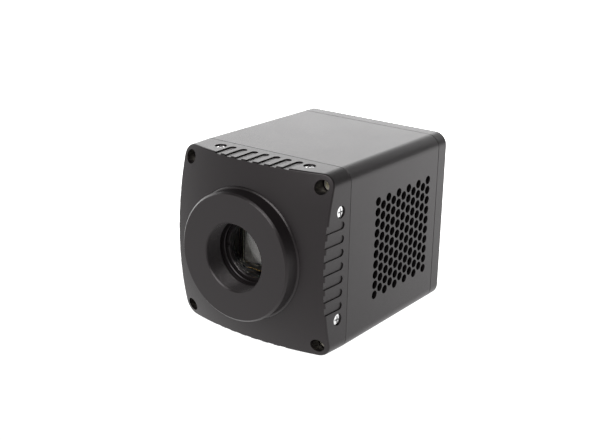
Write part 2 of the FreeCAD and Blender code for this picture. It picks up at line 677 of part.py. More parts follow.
def fan_magnet():
    x0 = FAN_X + FAN_STRUT_T + 0.6
    x1 = FAN_INNER_X - 2.0
    ring = rod_x(FAN_HUB_R - 0.8, x0, x1, FAN_Y, 0)
    return ring.cut(rod_x(FAN_HUB_R - 1.5, x0 - 1, x1 + 1, FAN_Y, 0))


def fan_rotor():
    x0 = FAN_X + FAN_STRUT_T + 0.4
    x1 = FAN_INNER_X - 0.6
    hub = rod_x(FAN_HUB_R, x0, x1, FAN_Y, 0)
    rim = [e for e in hub.Edges if e.BoundBox.XMin > x1 - 0.01]
    hub = hub.makeFillet(0.8, rim).cut(rod_x(FAN_HUB_R - 0.8, x0 - 1, x1 - 1, FAN_Y, 0))
    blades = []
    for k in range(FAN_BLADES):
        mid_x = (x0 + x1) / 2
        half_t = FAN_BLADE_T / 2
        blade = box(mid_x - 8, mid_x + 8, FAN_Y - half_t, FAN_Y + half_t, FAN_HUB_R - 0.5, FAN_TIP_R + 1)
        blade.rotate(VEC(mid_x, FAN_Y, 0), Z_AXIS, FAN_BLADE_PITCH)
        blades.append(rotated(blade, VEC(0, FAN_Y, 0), X_AXIS, 360 * k / FAN_BLADES))
    swept = rod_x(FAN_TIP_R, x0 + 0.2, x1 - 0.4, FAN_Y, 0)
    swept = swept.cut(rod_x(FAN_HUB_R - 0.5, x0 - 1, x1 + 1, FAN_Y, 0))
    blades = [b.common(swept) for b in blades]
    return hub.fuse(blades)


def fan_shaft():
    return rod_x(FAN_SHAFT_R, FAN_X + FAN_STRUT_T + 0.4, FAN_INNER_X - 1.6, FAN_Y, 0)


def fan_screws():
    screws = []
    for y, z in fan_corners():
        head = rod_x(2.4, FAN_X - 1.6, FAN_X, y, z)
        slot = box(FAN_X - 1.6 - 1, FAN_X - 1.0, y - 2.4, y + 2.4, z - 0.3, z + 0.3)
        screws.append(head.cut(slot).fuse(rod_x(1.15, FAN_X, FAN_INNER_X + 9, y, z)))
    return Part.makeCompound(screws)


# ---- electronics and connectors ----------------------------------------------------------------


def standoff_places():
    return [(sx * STANDOFF_X, sz * STANDOFF_Z) for sx, sz in CORNERS]


def main_board():
    board = square(MAIN_BOARD, MAIN_BOARD_Y, MAIN_BOARD_BACK_Y)
    tools = [rod_y(HOUSING_POST_R + 0.8, 0, LENGTH, x, z) for x, z in at_corners(CAP_POS)]
    tools += [rod_y(1.1, 0, LENGTH, x, z) for x, z in standoff_places()]
    return board.cut(tools)


def main_board_chips():
    """Image processor, memory and power parts on the side that faces the heat sink."""
    chips = [(-2, 4, 17, 17), (-20, 10, 9, 12), (-20, -6, 9, 12), (16, 12, 7, 7), (17, -3, 8, 8),
             (4, -16, 10, 6)]
    height = 1.5
    return Part.makeCompound([
        box(x - sx / 2, x + sx / 2, MAIN_BOARD_Y - height, MAIN_BOARD_Y, z - sz / 2, z + sz / 2)
        for x, z, sx, sz in chips])


def board_standoffs():
    stands = []
    for x, z in standoff_places():
        body = hexagon(2 * STANDOFF_R, MAIN_BOARD_BACK_Y, PANEL_BACK_Y, x, z)
        body = body.cut(rod_y(1.02, MAIN_BOARD_BACK_Y - 1, MAIN_BOARD_BACK_Y + 3, x, z))
        stands.append(body.fuse(rod_y(0.98, PANEL_BACK_Y, PANEL_BACK_Y + 1, x, z)))
    return Part.makeCompound(stands)


def board_screws():
    screws = []
    for x, z in standoff_places():
        head = rod_y(1.9, MAIN_BOARD_Y - 1.3, MAIN_BOARD_Y, x, z)
        recess = hexagon(1.3, MAIN_BOARD_Y - 2, MAIN_BOARD_Y - 0.7, x, z)
        screws.append(head.cut(recess).fuse(rod_y(1.0, MAIN_BOARD_Y, MAIN_BOARD_BACK_Y + 2.5, x, z)))
    return Part.makeCompound(screws)


def ribbon_cable():
    """Flat cable from the sensor board's tab to the main board, with a little slack."""
    z = CHAMBER / 2 - 1.5
    y0 = BOARD_SEAT_Y + BOARD_T + 2.0
    y1 = MAIN_BOARD_Y - 2.2
    sag = 1.6
    thick = 0.3
    half_w = 8.0
    lower = [VEC(-half_w, y0, z), VEC(-half_w, (y0 + y1) / 2, z - sag), VEC(-half_w, y1, z)]
    upper = [p + VEC(0, 0, thick) for p in lower]
    wire = Part.Wire([
        Part.Arc(*lower).toShape(), Part.LineSegment(lower[2], upper[2]).toShape(),
        Part.Arc(*reversed(upper)).toShape(), Part.LineSegment(upper[0], lower[0]).toShape()])
    return Part.Face(wire).extrude(VEC(2 * half_w, 0, 0))


def ribbon_sockets():
    z = CHAMBER / 2 - 1.35
    half_w = 9.4
    sensor_end = BOARD_SEAT_Y + BOARD_T
    front = box(-half_w, half_w, sensor_end, sensor_end + 2.0, z - 1.0, z + 1.0)
    back = box(-half_w, half_w, MAIN_BOARD_Y - 2.2, MAIN_BOARD_Y, z - 1.0, z + 0.1)
    return Part.makeCompound([front, back])


def lead_plugs():
    """Small plugs that join the cooler's and the fan's leads to the main board."""
    cooler = box(13, 19, MAIN_BOARD_Y - 4, MAIN_BOARD_Y, COOLER_LEAD_Z - 1.6, COOLER_LEAD_Z + 1.6)
    fan = box(-31, -25, MAIN_BOARD_Y - 4, MAIN_BOARD_Y, -28, -24)
    return Part.makeCompound([cooler, fan])


def cooler_lead():
    y_exit = STAGE_Y[1] + 1.8
    leads = []
    for x in (15.0, 17.0):
        route = [VEC(x, y_exit, -SPACER / 2), VEC(x, y_exit, COOLER_LEAD_Z),
                 VEC(x, MAIN_BOARD_Y - 4, COOLER_LEAD_Z)]
        leads.append(tube_along(route, WIRE_R, WIRE_BEND_R))
    return Part.makeCompound(leads)


def fan_lead():
    x = FAN_INNER_X - FAN_DEPTH / 2
    y_exit = FAN_Y + FAN / 2 - 8
    route = [VEC(x, y_exit, -FAN / 2), VEC(x, y_exit, -26), VEC(x, MAIN_BOARD_Y - 4, -26)]
    return tube_along(route, WIRE_R, WIRE_BEND_R)


def usb_outline(grow, y0, y1):
    """The stepped outline of the data socket, grown on all sides."""
    x, z = USB_POS
    low = box(x - 4.3 - grow, x + 4.3 + grow, y0, y1, z - 3.9 - grow, z + 3.9 + grow)
    high = box(x - 2.9 - grow, x + 2.9 + grow, y0, y1, z + 3.9 - 1, z + 7.1 + grow)
    return low.fuse(high)


def usb_socket():
    y1 = PANEL_Y + 0.6
    shell = usb_outline(0.45, MAIN_BOARD_BACK_Y, y1)
    return shell.cut(usb_outline(0.0, MAIN_BOARD_BACK_Y + 0.6, y1 + 1))


def usb_tongue():
    x, z = USB_POS
    y0 = MAIN_BOARD_BACK_Y + 0.6
    y1 = PANEL_Y - 0.4
    main = box(x - 2.8, x + 2.8, y0, y1, z - 1.6, z + 1.6)
    return Part.makeCompound([main, box(x - 2.0, x + 2.0, y0, y1, z + 4.9, z + 5.9)])


def dc_jack():
    x, z = DC_POS
    body = rod_y(3.95, MAIN_BOARD_BACK_Y, PANEL_Y, x, z)
    flange = rod_y(5.4, PANEL_Y, PANEL_Y + 0.9, x, z)
    return body.fuse(flange).cut(rod_y(2.85, MAIN_BOARD_BACK_Y + 1, LENGTH, x, z))


def dc_pin():
    x, z = DC_POS
    return rod_y(1.0, MAIN_BOARD_BACK_Y + 1, PANEL_Y + 0.2, x, z)


def trigger_socket():
    x, z = TRIGGER_POS
    body = rod_y(4.2, MAIN_BOARD_BACK_Y, PANEL_Y, x, z)
    flange = rod_y(5.2, PANEL_Y, PANEL_Y + 1.2, x, z)
    key = box(x - 0.6, x + 0.6, PANEL_Y - 3, LENGTH, z + 2.5, z + 3.9)
    return body.fuse(flange).cut([rod_y(3.2, PANEL_Y - 4, LENGTH, x, z), key])


def trigger_pins():
    x, z = TRIGGER_POS
    pins = []
    for k in range(4):
        t = math.radians(45 + 90 * k)
        pins.append(rod_y(0.35, PANEL_Y - 4, PANEL_Y, x + 1.6 * math.cos(t), z + 1.6 * math.sin(t)))
    return Part.makeCompound(pins)


def status_led():
    x, z = LED_POS
    dome = Part.makeSphere(1.5, VEC(x, PANEL_Y, z))
    return rod_y(1.5, MAIN_BOARD_BACK_Y, PANEL_Y, x, z).fuse(dome)


def switch_frame():
    """The rocker's open box with a thin bezel over the panel."""
    x, z = SWITCH.x, SWITCH.z
    half_x = SWITCH_OPEN_X + SWITCH_WALL
    half_z = SWITCH_OPEN_Z + SWITCH_WALL
    body = box(x - half_x, x + half_x, MAIN_BOARD_BACK_Y, PANEL_Y, z - half_z, z + half_z)
    bezel = box(x - half_x - 0.6, x + half_x + 0.6, PANEL_Y, PANEL_Y + 0.7,
                z - half_z - 0.6, z + half_z + 0.6)
    mouth = box(x - SWITCH_OPEN_X, x + SWITCH_OPEN_X, MAIN_BOARD_BACK_Y + 1.5, LENGTH,
                z - SWITCH_OPEN_Z, z + SWITCH_OPEN_Z)
    holes = rod_z(PIVOT_R + PIVOT_GAP, z - half_z - 1, z + half_z + 1, x, SWITCH.y)
    return body.fuse(bezel).cut([mouth, holes])


def power_rocker():
    """The rocker lies over on its off side: one face is level and the other stands up."""
    x, y, z = SWITCH.x, SWITCH.y, SWITCH.z
    rise = ROCKER_HALF * math.tan(math.radians(ROCKER_TILT))
    outline = [(-ROCKER_HALF, ROCKER_TOP + rise), (0, ROCKER_TOP), (ROCKER_HALF, ROCKER_TOP + rise),
               (ROCKER_HALF, 0.2), (2.2, -2.4), (-2.2, -2.4), (-ROCKER_HALF, 0.2)]
    points = [VEC(x + u, y + v, z - ROCKER_W / 2) for u, v in outline]
    rocker = Part.Face(Part.makePolygon(points + points[:1])).extrude(VEC(0, 0, ROCKER_W))
    reach = SWITCH_OPEN_Z + SWITCH_WALL - 0.1
    rocker = rocker.fuse(rod_z(PIVOT_R, z - reach, z + reach, x, y))
    rocker.rotate(SWITCH, Z_AXIS, ROCKER_TILT)
    return rocker


NODES = [
    front_plate, mount_ring, mount_ring_screws, front_screws, side_screws, housing, tripod_bush,
    rear_cover, rear_screws, window_retainer, window_glass, window_seal, chamber_body, chamber_seal,
    sensor_package, sensor_die, sensor_frame, sensor_lid, sensor_socket, sensor_board, cold_finger,
    thermoelectric_cooler, chamber_spacer, spacer_gaskets, chamber_screws, heat_sink, fan_frame,
    fan_bearing, fan_stator, fan_magnet, fan_rotor, fan_shaft, fan_screws, main_board,
    main_board_chips, board_standoffs, board_screws, ribbon_cable, ribbon_sockets, lead_plugs,
    cooler_lead, fan_lead, usb_socket, usb_tongue, dc_jack, dc_pin, trigger_socket, trigger_pins,
    status_led, switch_frame, power_rocker,
]

os.makedirs("parts", exist_ok=True)
for build in NODES:
    shape = build()
    if not shape.isValid() or shape.Volume <= 0:
        print("not valid:", build.__name__)
    shape.exportStep("parts/" + build.__name__ + ".step")
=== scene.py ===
import json
import math

import bmesh
import bpy
from mathutils import Matrix, Vector


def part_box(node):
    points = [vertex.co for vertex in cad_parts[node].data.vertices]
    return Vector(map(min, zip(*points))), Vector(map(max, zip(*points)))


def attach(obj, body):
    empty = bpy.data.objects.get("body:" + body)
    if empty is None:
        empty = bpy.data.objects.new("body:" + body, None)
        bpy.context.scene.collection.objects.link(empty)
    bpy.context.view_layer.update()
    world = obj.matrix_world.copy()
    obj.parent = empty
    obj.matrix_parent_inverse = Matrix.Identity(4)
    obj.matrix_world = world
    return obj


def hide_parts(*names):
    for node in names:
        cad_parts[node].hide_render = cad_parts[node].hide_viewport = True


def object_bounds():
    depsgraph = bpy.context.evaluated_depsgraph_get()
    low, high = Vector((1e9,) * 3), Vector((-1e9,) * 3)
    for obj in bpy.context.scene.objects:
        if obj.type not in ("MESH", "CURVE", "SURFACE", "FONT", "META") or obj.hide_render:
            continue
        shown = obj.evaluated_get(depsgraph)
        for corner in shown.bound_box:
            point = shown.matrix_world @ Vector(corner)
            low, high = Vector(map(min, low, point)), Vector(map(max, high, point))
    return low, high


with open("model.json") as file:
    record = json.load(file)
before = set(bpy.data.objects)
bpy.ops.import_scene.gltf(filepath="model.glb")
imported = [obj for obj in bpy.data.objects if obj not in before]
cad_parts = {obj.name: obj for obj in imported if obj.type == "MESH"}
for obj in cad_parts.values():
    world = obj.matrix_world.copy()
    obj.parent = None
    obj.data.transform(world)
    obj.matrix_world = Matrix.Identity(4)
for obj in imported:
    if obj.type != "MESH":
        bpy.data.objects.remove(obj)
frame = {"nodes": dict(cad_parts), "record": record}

node = frame["nodes"]
cad_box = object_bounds()


# ---------------------------------------------------------------- camera
# The camera stands in front of the mount, to its right and above it, a little turned about its own axis.
def stand_camera():
    azimuth, elevation, roll = (math.radians(d) for d in (35.0, 18.945, 1.653))
    aim = Vector((0, 0.06205, 0))
    distance = 0.47485
    back = Vector((math.sin(azimuth) * math.cos(elevation), -math.cos(azimuth) * math.cos(elevation),
                   math.sin(elevation)))
    right = Vector((math.cos(azimuth), math.sin(azimuth), 0))
    up = back.cross(right)
    rolled_right = right * math.cos(roll) + up * math.sin(roll)
    rolled_up = up * math.cos(roll) - right * math.sin(roll)
    lens = bpy.data.cameras.new("studio_camera")
    lens.sensor_width = 36
    lens.lens = 64.44
    lens.shift_x = -0.0357
    lens.shift_y = -0.0020
    lens.clip_start = 0.01
    lens.clip_end = 20
    camera = bpy.data.objects.new("studio_camera", lens)
    camera.matrix_world = Matrix.Translation(aim + back * distance) @ Matrix(
        (rolled_right, rolled_up, back)).transposed().to_4x4()
    bpy.context.scene.collection.objects.link(camera)
    bpy.context.scene.camera = camera


stand_camera()


# ---------------------------------------------------------------- studio
# A white table in a pale room with a dark ceiling. A lit paper backdrop stands behind on the left,
# and one soft panel hangs in front, above the lens mount.
def light_room(walls, backdrop, corner, ceiling):
    """Brightness by direction: walls in front, dim on the right, and a backdrop and a corner behind."""
    room = bpy.data.worlds.new("studio_room")
    room.use_nodes = True
    tree = room.node_tree
    way = tree.nodes.new("ShaderNodeTexCoord")
    parts = tree.nodes.new("ShaderNodeSeparateXYZ")
    rear = tree.nodes.new("ShaderNodeMapRange")
    rear.inputs["From Min"].default_value = 0.0
    rear.inputs["From Max"].default_value = 0.45
    rear.inputs["To Min"].default_value = backdrop
    rear.inputs["To Max"].default_value = corner
    around = tree.nodes.new("ShaderNodeMapRange")
    around.inputs["From Min"].default_value = -0.3
    around.inputs["From Max"].default_value = 0.35
    front = tree.nodes.new("ShaderNodeMapRange")
    front.inputs["From Min"].default_value = -0.25
    front.inputs["From Max"].default_value = 0.3
    front.inputs["To Min"].default_value = walls
    front.inputs["To Max"].default_value = corner
    upward = tree.nodes.new("ShaderNodeMapRange")
    upward.inputs["From Min"].default_value = 0.40
    upward.inputs["From Max"].default_value = 0.55
    upward.inputs["To Max"].default_value = ceiling
    seen = tree.nodes.new("ShaderNodeLightPath")
    shown = tree.nodes.new("ShaderNodeMix")
    shown.inputs["B"].default_value = 1.0
    link = tree.links.new
    link(way.outputs["Generated"], parts.inputs["Vector"])
    link(parts.outputs["X"], rear.inputs["Value"])
    link(parts.outputs["X"], front.inputs["Value"])
    link(front.outputs["Result"], around.inputs["To Min"])
    link(parts.outputs["Y"], around.inputs["Value"])
    link(rear.outputs["Result"], around.inputs["To Max"])
    link(parts.outputs["Z"], upward.inputs["Value"])
    link(around.outputs["Result"], upward.inputs["To Min"])
    link(seen.outputs["Is Camera Ray"], shown.inputs["Factor"])
    link(upward.outputs["Result"], shown.inputs["A"])
    link(shown.outputs["Result"], tree.nodes["Background"].inputs["Strength"])
    tree.nodes["Background"].inputs["Color"].default_value = (1, 1, 1, 1)
    bpy.context.scene.world = room


def soft_panel(name, centre, aim, size, watts):
    light = bpy.data.lights.new(name, "AREA")
    light.shape = "RECTANGLE"
    light.size, light.size_y = size
    light.energy = watts
    panel = bpy.data.objects.new(name, light)
    away = (Vector(centre) - Vector(aim)).normalized()
    panel.matrix_world = Matrix.Translation(centre) @ away.to_track_quat("Z", "Y").to_matrix().to_4x4()
    bpy.context.scene.collection.objects.link(panel)


light_room(walls=0.9, backdrop=3.5, corner=0.2, ceiling=0.08)
soft_panel("panel_in_front", centre=(0.13, -0.94, 0.88), aim=(0, 0.05, 0), size=(1.0, 0.8), watts=17)
bpy.context.scene.view_settings.view_transform = "Standard"

floor_half_width = 20
floor_gap = 0.0001
floor_mesh = bmesh.new()
bmesh.ops.create_grid(floor_mesh, x_segments=1, y_segments=1, size=floor_half_width)
bmesh.ops.translate(floor_mesh, verts=floor_mesh.verts, vec=(0, 0, cad_box[0][2] - floor_gap))
floor_data = bpy.data.meshes.new("floor")
floor_mesh.to_mesh(floor_data)
floor = bpy.data.objects.new("floor", floor_data)
bpy.context.scene.collection.objects.link(floor)
# The floor glows by itself, though it is no lamp. This is painted light: the glow grows brighter towards the
# back, as if the table were lit from behind, and it is strong enough that shadows on the floor stay faint.
paper = bpy.data.materials.new("floor_with_painted_glow")
paper.use_nodes = True
paper_shader = paper.node_tree.nodes["Principled BSDF"]
paper_shader.inputs["Base Color"].default_value = (0.15, 0.15, 0.15, 1)
paper_shader.inputs["Roughness"].default_value = 0.9
paper_shader.inputs["Emission Color"].default_value = (1, 1, 1, 1)
paper_place = paper.node_tree.nodes.new("ShaderNodeTexCoord")
paper_parts = paper.node_tree.nodes.new("ShaderNodeSeparateXYZ")
painted_floor_light = paper.node_tree.nodes.new("ShaderNodeMapRange")
painted_floor_light.inputs["From Min"].default_value = -0.05
painted_floor_light.inputs["From Max"].default_value = 0.3
painted_floor_light.inputs["To Min"].default_value = 0.87
painted_floor_light.inputs["To Max"].default_value = 2.1
paper.node_tree.links.new(paper_place.outputs["Object"], paper_parts.inputs["Vector"])
paper.node_tree.links.new(paper_parts.outputs["Y"], painted_floor_light.inputs["Value"])
paper.node_tree.links.new(painted_floor_light.outputs["Result"], paper_shader.inputs["Emission Strength"])
floor.data.materials.append(paper)


# ---------------------------------------------------------------- front plate, housing and rear cover
# Machined aluminium, bead-blasted and then anodised black, which leaves a satin skin with a very
# fine even grain. The three shells are screwed together at two seams and share one finish.
BROAD_CELLS = 60
GRAIN_HEIGHT = 0.00004


def finish(name, dark, light, rough, grain, bump, metallic=0.0, specular=0.5, tint=(1, 1, 1),
           stretch=(1, 1, 1), fine_share=0.5):
    """A surface whose colour, gloss and height vary with a fine grain of so many cells a metre."""
    skin = bpy.data.materials.new(name)
    skin.use_nodes = True
    tree = skin.node_tree
    shader = tree.nodes["Principled BSDF"]
    place = tree.nodes.new("ShaderNodeTexCoord")
    along = tree.nodes.new("ShaderNodeMapping")
    along.name = "along"
    along.inputs["Scale"].default_value = stretch
    fine = tree.nodes.new("ShaderNodeTexNoise")
    fine.inputs["Scale"].default_value = grain
    fine.inputs["Detail"].default_value = 3
    broad = tree.nodes.new("ShaderNodeTexNoise")
    broad.inputs["Scale"].default_value = BROAD_CELLS
    broad.inputs["Detail"].default_value = 3
    both = tree.nodes.new("ShaderNodeMix")
    both.inputs["Factor"].default_value = fine_share
    shade = tree.nodes.new("ShaderNodeMix")
    shade.name = "shade"
    shade.data_type = "RGBA"
    shade.inputs["A"].default_value = (*dark, 1)
    shade.inputs["B"].default_value = (*light, 1)
    gloss = tree.nodes.new("ShaderNodeMapRange")
    gloss.inputs["From Min"].default_value = 0.3
    gloss.inputs["From Max"].default_value = 0.7
    gloss.inputs["To Min"].default_value = rough[0]
    gloss.inputs["To Max"].default_value = rough[1]
    relief = tree.nodes.new("ShaderNodeBump")
    relief.name = "relief"
    relief.inputs["Strength"].default_value = bump
    relief.inputs["Distance"].default_value = GRAIN_HEIGHT
    link = tree.links.new
    link(place.outputs["Object"], along.inputs["Vector"])
    link(along.outputs["Vector"], fine.inputs["Vector"])
    link(place.outputs["Object"], broad.inputs["Vector"])
    link(broad.outputs["Fac"], both.inputs["A"])
    link(fine.outputs["Fac"], both.inputs["B"])
    link(both.outputs["Result"], shade.inputs["Factor"])
    link(shade.outputs["Result"], shader.inputs["Base Color"])
    link(both.outputs["Result"], gloss.inputs["Value"])
    link(gloss.outputs["Result"], shader.inputs["Roughness"])
    link(fine.outputs["Fac"], relief.inputs["Height"])
    link(relief.outputs["Normal"], shader.inputs["Normal"])
    shader.inputs["Metallic"].default_value = metallic
    shader.inputs["Specular IOR Level"].default_value = specular
    shader.inputs["Specular Tint"].default_value = (*tint, 1)
    return skin


def dress(skin, *names):
    for name in names:
        node[name].data.materials.clear()
        node[name].data.materials.append(skin)


warm = (1.0, 0.94, 0.955)
black_dark, black_light = (0.0058, 0.0046, 0.0049), (0.0088, 0.0072, 0.0076)
anodised_black = finish("anodised_black", black_dark, black_light, (0.33, 0.43), 5200, 0.55,
                        specular=0.36, tint=warm, fine_share=0.85)
dress(anodised_black, "front_plate", "housing", "rear_cover")


# ---------------------------------------------------------------- mount ring
# A turned aluminium ring, anodised with the shells and screwed to the front plate from behind.
# Its bore has a fine 0.6 mm thread for lenses and adapters, then a groove where the tool ran out.
MM = 0.001
CREASE = math.radians(30)
SHARP = math.radians(40)


def wind_thread(mesh, minor, major, pitch, start, end, steps=192):
    """An internal thread about Y: one turn's profile wound up a helix, then cut square at both ends."""
    flat, root, rise = 0.22, 0.12, 0.33
    outline = [(minor, 0), (minor, flat), (major, flat + rise), (major, flat + rise + root), (minor, 1)]
    turns = math.ceil((end - start) / pitch) + 2
    first = start - 1.5 * pitch
    corners = [mesh.verts.new((r * MM, (first + u * pitch) * MM, 0)) for r, u in outline]
    sides = [mesh.edges.new(pair) for pair in zip(corners, corners[1:])]
    bmesh.ops.spin(mesh, geom=corners + sides, cent=(0, 0, 0), axis=(0, 1, 0), angle=math.tau, steps=steps,
                   dvec=(0, pitch * MM / steps, 0), use_merge=False)
    one_turn = mesh.verts[:] + mesh.edges[:] + mesh.faces[:]
    for k in range(1, turns):
        copy = bmesh.ops.duplicate(mesh, geom=one_turn)["geom"]
        points = [part for part in copy if isinstance(part, bmesh.types.BMVert)]
        bmesh.ops.translate(mesh, verts=points, vec=(0, k * pitch * MM, 0))
    bmesh.ops.remove_doubles(mesh, verts=mesh.verts, dist=1e-6)
    for cut, inner, outer in ((start, True, False), (end, False, True)):
        bmesh.ops.bisect_plane(mesh, geom=mesh.verts[:] + mesh.edges[:] + mesh.faces[:],
                               plane_co=(0, cut * MM, 0), plane_no=(0, 1, 0),
                               clear_inner=inner, clear_outer=outer)


def lathe(mesh, outline, steps=192):
    """Spin an outline of (radius, y) points in millimetres into a ring about Y."""
    corners = [mesh.verts.new((r * MM, y * MM, 0)) for r, y in outline]
    sides = [mesh.edges.new(pair) for pair in zip(corners, corners[1:])]
    bmesh.ops.spin(mesh, geom=corners + sides, cent=(0, 0, 0), axis=(0, 1, 0), dvec=(0, 0, 0),
                   angle=math.tau, steps=steps, use_merge=True)
    bmesh.ops.remove_doubles(mesh, verts=mesh.verts, dist=1e-7)


def close_between(mesh, low, high):
    """Bridge the two open rims that lie between two depths, in millimetres."""
    rims = [e for e in mesh.edges
            if e.is_boundary and all(low * MM < v.co.y < high * MM for v in e.verts)]
    bmesh.ops.bridge_loops(mesh, edges=rims)


def add_piece(name, mesh, skin, body, replaced=()):
    """Turn a finished mesh into a named piece, smooth except at its creases, that rides on a body."""
    for face in mesh.faces:
        face.smooth = True
    for edge in mesh.edges:
        edge.smooth = edge.calc_face_angle(0) < CREASE
    data = bpy.data.meshes.new(name)
    mesh.to_mesh(data)
    mesh.free()
    piece = bpy.data.objects.new(name, data)
    bpy.context.scene.collection.objects.link(piece)
    piece.data.materials.append(skin)
    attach(piece, body)
    if replaced:
        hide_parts(*replaced)


def turned(skin):
    """Turning marks: the grain is drawn out into rings about the optical axis."""
    tree = skin.node_tree
    place = tree.nodes.new("ShaderNodeTexCoord")
    flatten = tree.nodes.new("ShaderNodeVectorMath")
    flatten.operation = "MULTIPLY"
    flatten.inputs[1].default_value = (1, 0, 1)
    radius = tree.nodes.new("ShaderNodeVectorMath")
    radius.operation = "LENGTH"
    depth = tree.nodes.new("ShaderNodeSeparateXYZ")
    rings = tree.nodes.new("ShaderNodeCombineXYZ")
    link = tree.links.new
    link(place.outputs["Object"], flatten.inputs[0])
    link(flatten.outputs["Vector"], radius.inputs[0])
    link(place.outputs["Object"], depth.inputs["Vector"])
    link(radius.outputs["Value"], rings.inputs["X"])
    link(depth.outputs["Y"], rings.inputs["Y"])
    link(rings.outputs["Vector"], tree.nodes["along"].inputs["Vector"])
    return skin


turned_black = turned(finish("turned_black", black_dark, black_light, (0.3, 0.42), 5000, 0.25,
                             specular=0.4, tint=warm))
ring_r, collar_r, throat_r, relief_r, mouth_r = 26.65, 27.5, 13.0, 14.6, 14.4
collar_y, collar_seat_y, ledge_y, relief_y = 6.4, 7.3, 12.0, 10.2
thread_start, thread_end = 0.4, 8.4
ring = bmesh.new()
wind_thread(ring, minor=13.95, major=14.28, pitch=0.6, start=thread_start, end=thread_end)
lathe(ring, [(mouth_r, 0), (25.85, 0), (ring_r, 0.8), (ring_r, collar_y), (26.9, collar_y), (collar_r, 7.0),
             (collar_r, collar_seat_y), (ring_r, collar_seat_y), (ring_r, ledge_y), (throat_r, ledge_y),
             (throat_r, 10.4), (13.2, relief_y), (relief_r, relief_y), (relief_r, 8.5)])
close_between(ring, -0.1, 1.0)
close_between(ring, 8.3, 8.6)
outside_r, edge_break = 26.0, 0.08
sharp = [e for e in ring.edges if e.calc_face_angle(0) > SHARP
         and all(v.co.y < collar_seat_y * MM and math.hypot(v.co.x, v.co.z) > outside_r * MM
                 for v in e.verts)]
bmesh.ops.bevel(ring, geom=sharp, offset=edge_break * MM, segments=2, profile=0.5, affect="EDGES",
                material=-1)
bmesh.ops.recalc_face_normals(ring, faces=ring.faces)
add_piece("threaded_mount_ring", ring, turned_black, "camera", ["mount_ring"])


# ---------------------------------------------------------------- window and its retaining ring
# A round coated window closes the sensor chamber. A black turned ring with two spanner notches
# screws down on it, and a rubber ring behind it keeps moisture out.
dress(turned_black, "window_retainer")
coated_glass = finish("coated_glass", (0.97, 0.97, 0.95), (0.99, 0.99, 0.98), (0.0, 0.015), 900, 0.0,
                      specular=0.25)
coated_glass.node_tree.nodes["Principled BSDF"].inputs["Transmission Weight"].default_value = 1.0
dress(coated_glass, "window_glass", "sensor_lid")
seal_rubber = finish("seal_rubber", (0.008, 0.008, 0.008), (0.014, 0.014, 0.014), (0.55, 0.7), 2500, 0.4)
dress(seal_rubber, "window_seal", "chamber_seal", "spacer_gaskets")


# ---------------------------------------------------------------- image sensor
# A silicon die in a dark ceramic package, under a glass lid soldered to a gilt frame. Gold pads run
# along the package's upper and lower edges.
def die_finish(half_x, half_z, rim):
    """Grey silicon: an even active field of fine rows inside a darker rim."""
    skin = finish("silicon", (0.2, 0.195, 0.2), (0.26, 0.25, 0.25), (0.3, 0.38), 2200, 0.05, metallic=0.1)
    tree = skin.node_tree
    link = tree.links.new
    place = tree.nodes.new("ShaderNodeTexCoord")
    spans = tree.nodes.new("ShaderNodeSeparateXYZ")
    link(place.outputs["Object"], spans.inputs["Vector"])
    masks = []
    for axis, half in (("X", half_x), ("Z", half_z)):
        distance = tree.nodes.new("ShaderNodeMath")
        distance.operation = "ABSOLUTE"
        inside = tree.nodes.new("ShaderNodeMath")
        inside.operation = "LESS_THAN"
        inside.inputs[1].default_value = (half - rim) * MM
        link(spans.outputs[axis], distance.inputs[0])
        link(distance.outputs["Value"], inside.inputs[0])
        masks.append(inside)
    field = tree.nodes.new("ShaderNodeMath")
    field.operation = "MULTIPLY"
    link(masks[0].outputs["Value"], field.inputs[0])
    link(masks[1].outputs["Value"], field.inputs[1])
    rows = tree.nodes.new("ShaderNodeTexWave")
    rows.bands_direction = "X"
    rows.inputs["Scale"].default_value = 400
    rows.inputs["Distortion"].default_value = 0
    link(place.outputs["Object"], rows.inputs["Vector"])
    stripes = tree.nodes.new("ShaderNodeMix")
    stripes.data_type = "RGBA"
    stripes.inputs["B"].default_value = (0.34, 0.33, 0.32, 1)
    link(rows.outputs["Fac"], stripes.inputs["Factor"])
    link(tree.nodes["shade"].outputs["Result"], stripes.inputs["A"])
    bare = tree.nodes.new("ShaderNodeMix")
    bare.data_type = "RGBA"
    bare.inputs["A"].default_value = (0.12, 0.11, 0.13, 1)
    link(field.outputs["Value"], bare.inputs["Factor"])
    link(stripes.outputs["Result"], bare.inputs["B"])
    link(bare.outputs["Result"], tree.nodes["Principled BSDF"].inputs["Base Color"])
    return skin


def flat_blocks(places, size):
    """Small blocks with softened edges, each centred on its place, in millimetres."""
    blocks = bmesh.new()
    for place in places:
        made = bmesh.ops.create_cube(blocks, size=MM)
        bmesh.ops.scale(blocks, verts=made["verts"], vec=size)
        bmesh.ops.translate(blocks, verts=made["verts"], vec=Vector(place) * MM)
    bmesh.ops.bevel(blocks, geom=blocks.edges[:], offset=min(size) * 0.15 * MM, segments=1, profile=0.5,
                    affect="EDGES", material=-1)
    return blocks


dress(die_finish(half_x=7.85, half_z=7.6, rim=0.3), "sensor_die")
gilt = finish("gilt", (0.9, 0.82, 0.6), (0.97, 0.93, 0.78), (0.3, 0.45), 1500, 0.2, metallic=0.15)
dress(gilt, "sensor_frame")
dark_ceramic = finish("dark_ceramic", (0.035, 0.03, 0.018), (0.05, 0.043, 0.028), (0.4, 0.55), 3500, 0.4)
dress(dark_ceramic, "sensor_package")
gold = finish("gold", (0.8, 0.5, 0.12), (0.95, 0.68, 0.25), (0.25, 0.4), 2500, 0.2, metallic=0.8)
pad_count, pad_pitch = 22, 0.85
pad_y, pad_row_z = 17.08, 9.98
pads = flat_blocks([((k - (pad_count - 1) / 2) * pad_pitch, pad_y, side * pad_row_z)
                    for side in (-1, 1) for k in range(pad_count)], (0.5, 0.08, 0.8))
add_piece("package_pads", pads, gold, "camera")


